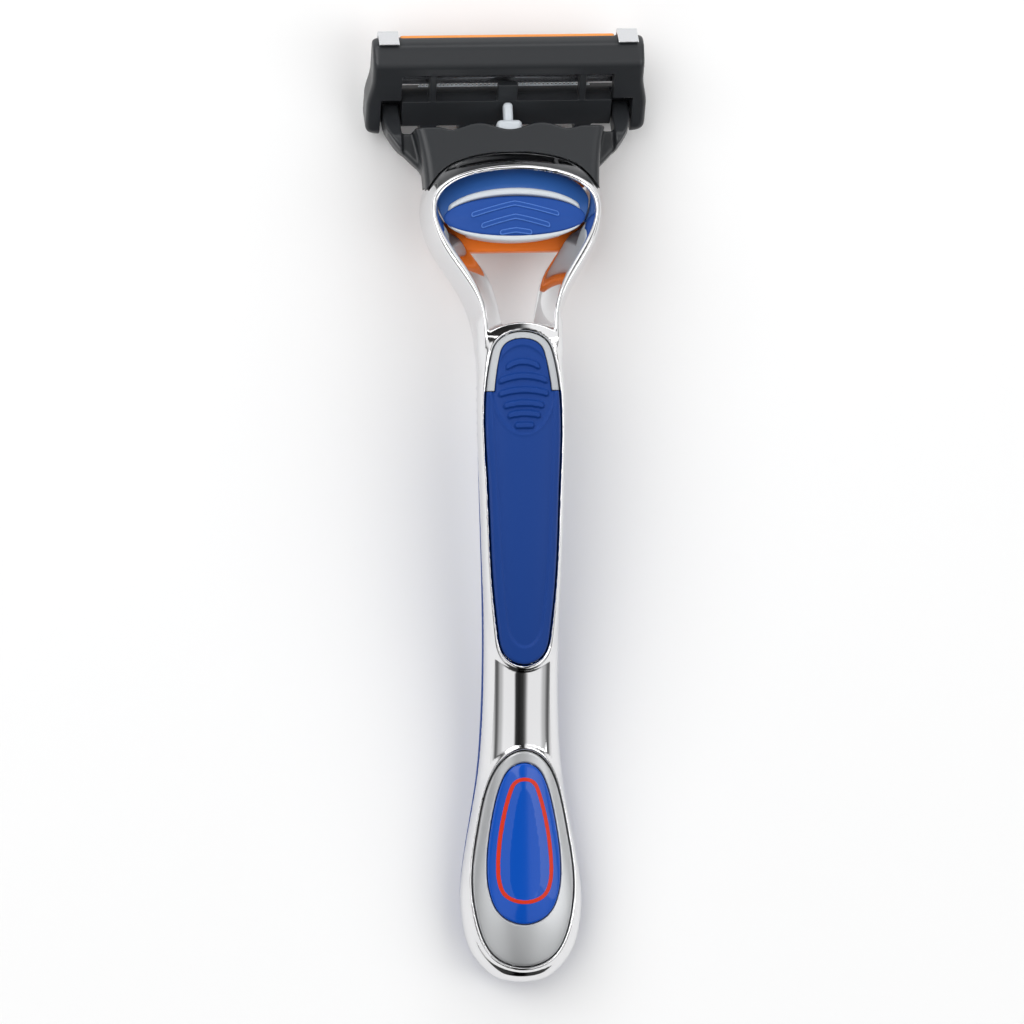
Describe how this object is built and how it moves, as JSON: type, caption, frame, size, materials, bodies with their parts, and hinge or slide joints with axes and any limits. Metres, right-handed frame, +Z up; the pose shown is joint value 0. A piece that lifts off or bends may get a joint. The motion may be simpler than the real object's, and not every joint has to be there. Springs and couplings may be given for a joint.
{
  "type": "cartridge razor",
  "caption": "Manual cartridge razor: plated forked handle with soft grips, push-off button and a pivoting blade cartridge on a spring plunger.",
  "frame": {"origin": "centre of the razor's bounding box in plan, on the surface that it lies on", "axes": "+X across the razor, +Y along it from the tail to the blades, +Z up through the thumb pad"},
  "size_m": [0.0416, 0.14, 0.0224],
  "materials": {
    "chrome": "polished",
    "blue_rubber": "soft matte",
    "grey_rubber": "soft matte",
    "satin_plate": "satin",
    "blue_lens": "clear gloss",
    "red_trim": "gloss",
    "grey_plastic": "matte",
    "orange_plastic": "semi-gloss",
    "black_plastic": "satin",
    "steel": "ground",
    "clip_metal": "satin",
    "orange_strip": "waxy"
  },
  "bodies": {
    "handle": {"chrome_frame": "chrome", "back_grip": "blue_rubber", "back_inlay": "grey_rubber", "thumb_pad_base": "grey_rubber", "thumb_pad": "blue_rubber", "tail_plate": "satin_plate", "tail_lens": "blue_lens", "accent_ring": "red_trim", "dock_block": "grey_plastic", "plunger_spring": "steel"},
    "plunger": {"plunger": "grey_plastic"},
    "ejector": {"ejector_core": "grey_plastic", "ejector_pad": "blue_rubber", "ejector_shield": "blue_rubber", "ejector_under_pad": "orange_plastic"},
    "connector": {"yoke": "black_plastic"},
    "blade_unit": {"cartridge_housing": "black_plastic", "guard_fins": "black_plastic", "lube_strip": "orange_strip", "clip_left": "clip_metal", "clip_right": "clip_metal"},
    "blade_1": {"blade_1": "steel", "blade_support_1": "steel"},
    "blade_2": {"blade_2": "steel", "blade_support_2": "steel"},
    "blade_3": {"blade_3": "steel", "blade_support_3": "steel"},
    "blade_4": {"blade_4": "steel", "blade_support_4": "steel"},
    "blade_5": {"blade_5": "steel", "blade_support_5": "steel"}
  },
  "joints": [
    {"name": "cartridge_release", "type": "slide", "parent": "handle", "child": "connector", "axis": [0, 0.9781, -0.2079], "range_m": [0, 0.022]},
    {"name": "blade_pivot", "type": "hinge", "parent": "connector", "child": "blade_unit", "pos_m": [0, 0.05795, 0.00423], "axis": [1, 0, 0], "range_deg": [0, 40], "stiffness_Nm_per_rad": 0.02, "springref_deg": -17.19},
    {"name": "plunger_push", "type": "slide", "parent": "handle", "child": "plunger", "axis": [0, 0.9781, -0.2079], "range_m": [-0.00275, 0], "deforming": ["plunger_spring"]},
    {"name": "eject_push", "type": "slide", "parent": "handle", "child": "ejector", "axis": [0, 0.9781, -0.2079], "range_m": [0, 0.0015], "stiffness_N_per_m": 300, "springref_m": -0.002},
    {"name": "blade_1_float", "type": "slide", "parent": "blade_unit", "child": "blade_1", "axis": [0, -0.6428, 0.766], "range_m": [0, 0.0002], "stiffness_N_per_m": 150, "springref_m": -0.0004},
    {"name": "blade_2_float", "type": "slide", "parent": "blade_unit", "child": "blade_2", "axis": [0, -0.6428, 0.766], "range_m": [0, 0.0002], "stiffness_N_per_m": 150, "springref_m": -0.0004},
    {"name": "blade_3_float", "type": "slide", "parent": "blade_unit", "child": "blade_3", "axis": [0, -0.6428, 0.766], "range_m": [0, 0.0002], "stiffness_N_per_m": 150, "springref_m": -0.0004},
    {"name": "blade_4_float", "type": "slide", "parent": "blade_unit", "child": "blade_4", "axis": [0, -0.6428, 0.766], "range_m": [0, 0.0002], "stiffness_N_per_m": 150, "springref_m": -0.0004},
    {"name": "blade_5_float", "type": "slide", "parent": "blade_unit", "child": "blade_5", "axis": [0, -0.6428, 0.766], "range_m": [0, 0.0002], "stiffness_N_per_m": 150, "springref_m": -0.0004}
  ],
  "couplings": [
    {"joint": "plunger_push", "follows": "blade_pivot", "m_per_rad": -0.0039391}
  ]
}
